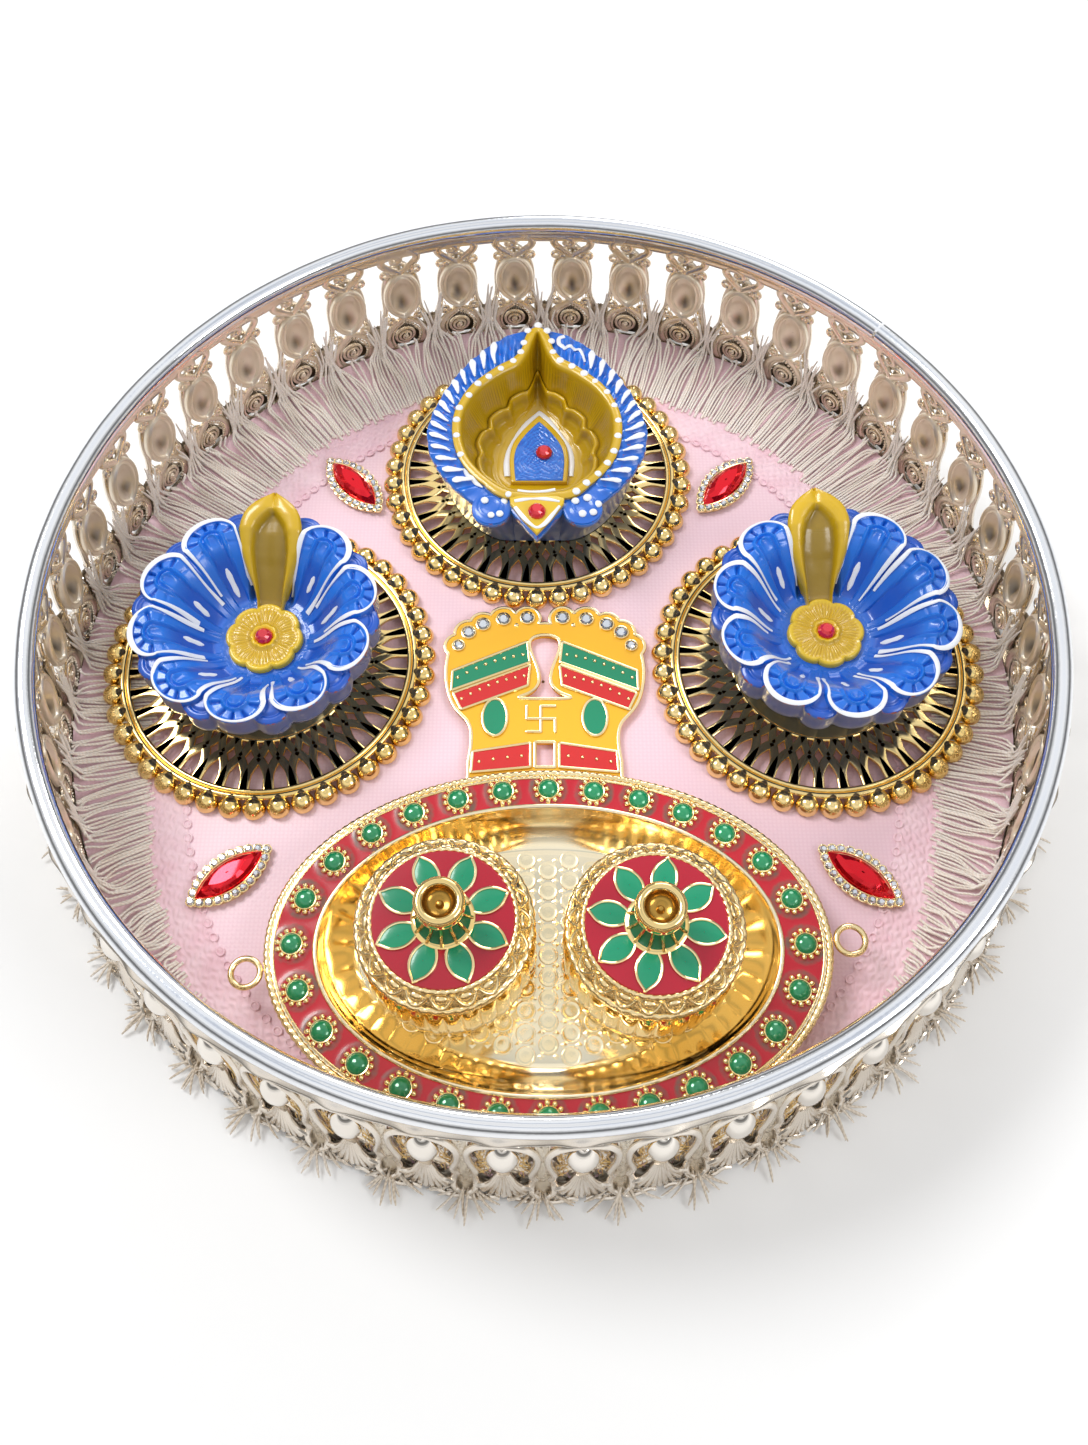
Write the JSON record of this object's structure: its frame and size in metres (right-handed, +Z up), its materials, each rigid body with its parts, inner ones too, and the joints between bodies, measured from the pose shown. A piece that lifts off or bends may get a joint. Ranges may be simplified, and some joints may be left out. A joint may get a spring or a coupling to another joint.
{
  "type": "puja thali",
  "caption": "Round tray with an openwork wall and a tube rim, clay lamps on beaded stands, an oval tray with lidded pots and a footprint plaque on a satin floor.",
  "frame": {"origin": "middle of the thali's footprint on the table, at the underside of the base board", "axes": "+Z up; +Y away from the person who uses it, from the oval tray towards the back lamp; +X to the right"},
  "size_m": [0.3316, 0.3322, 0.0631],
  "materials": {
    "board_wood": "plain board",
    "pink_satin": "soft sheen satin",
    "pink_lace": "knitted lace with metallic thread",
    "champagne_thread": "twisted metallic thread",
    "champagne_plastic": "metallised champagne",
    "silver_tube": "polished",
    "stand_gold": "polished gold",
    "blue_clay": "gloss paint with brush marks",
    "red_stone": "cut and foiled",
    "jewel_gold": "polished gold",
    "red_crystal": "cut and foiled",
    "clear_stone": "cut and foiled",
    "yellow_plaque": "glossy with gold lines",
    "green_enamel": "glossy enamel with fine glitter",
    "red_enamel": "glossy enamel",
    "tray_gold": "polished gold",
    "crimson_enamel": "glossy enamel",
    "green_stone": "polished dome",
    "pot_gold": "polished gold"
  },
  "bodies": {
    "thali": {"base_board": "board_wood", "satin_cover": "pink_satin", "lace_band": "pink_lace", "fringe_skirt": "champagne_thread", "fringe_tufts": "champagne_thread", "gallery_wall": "champagne_plastic", "rim_tube": "silver_tube", "stand_left": "stand_gold", "stand_right": "stand_gold", "stand_back": "stand_gold", "jewel_settings": "jewel_gold", "marquise_crystals": "red_crystal", "jewel_rhinestones": "clear_stone", "footprint_plaque": "yellow_plaque", "plaque_green_enamel": "green_enamel", "plaque_red_enamel": "red_enamel", "toe_rhinestones": "clear_stone", "oval_tray": "tray_gold", "tray_red_enamel": "crimson_enamel", "tray_rope_edge": "tray_gold", "tray_stones": "green_stone", "tray_bead_collars": "tray_gold", "tray_ear_left": "tray_gold", "tray_ear_right": "tray_gold"},
    "left_pot": {"pot_left": "pot_gold"},
    "left_lid": {"lid_left": "pot_gold", "lid_left_enamel": "crimson_enamel", "lid_left_petals": "green_enamel", "knob_left": "pot_gold"},
    "left_lamp": {"diya_left": "blue_clay", "diya_left_stone": "red_stone"},
    "right_pot": {"pot_right": "pot_gold"},
    "right_lid": {"lid_right": "pot_gold", "lid_right_enamel": "crimson_enamel", "lid_right_petals": "green_enamel", "knob_right": "pot_gold"},
    "right_lamp": {"diya_right": "blue_clay", "diya_right_stone": "red_stone"},
    "back_lamp": {"diya_back": "blue_clay", "diya_back_stones": "red_stone"}
  },
  "joints": [
    {"name": "left_pot_lift", "type": "slide", "parent": "thali", "child": "left_pot", "axis": [0, 0, 1], "range_m": [0, 0.06]},
    {"name": "left_lid_lift", "type": "slide", "parent": "left_pot", "child": "left_lid", "axis": [0, 0, 1], "range_m": [0, 0.05]},
    {"name": "right_pot_lift", "type": "slide", "parent": "thali", "child": "right_pot", "axis": [0, 0, 1], "range_m": [0, 0.06]},
    {"name": "right_lid_lift", "type": "slide", "parent": "right_pot", "child": "right_lid", "axis": [0, 0, 1], "range_m": [0, 0.05]},
    {"name": "left_lamp_lift", "type": "slide", "parent": "thali", "child": "left_lamp", "axis": [0, 0, 1], "range_m": [0, 0.06]},
    {"name": "right_lamp_lift", "type": "slide", "parent": "thali", "child": "right_lamp", "axis": [0, 0, 1], "range_m": [0, 0.06]},
    {"name": "back_lamp_lift", "type": "slide", "parent": "thali", "child": "back_lamp", "axis": [0, 0, 1], "range_m": [0, 0.06]}
  ]
}
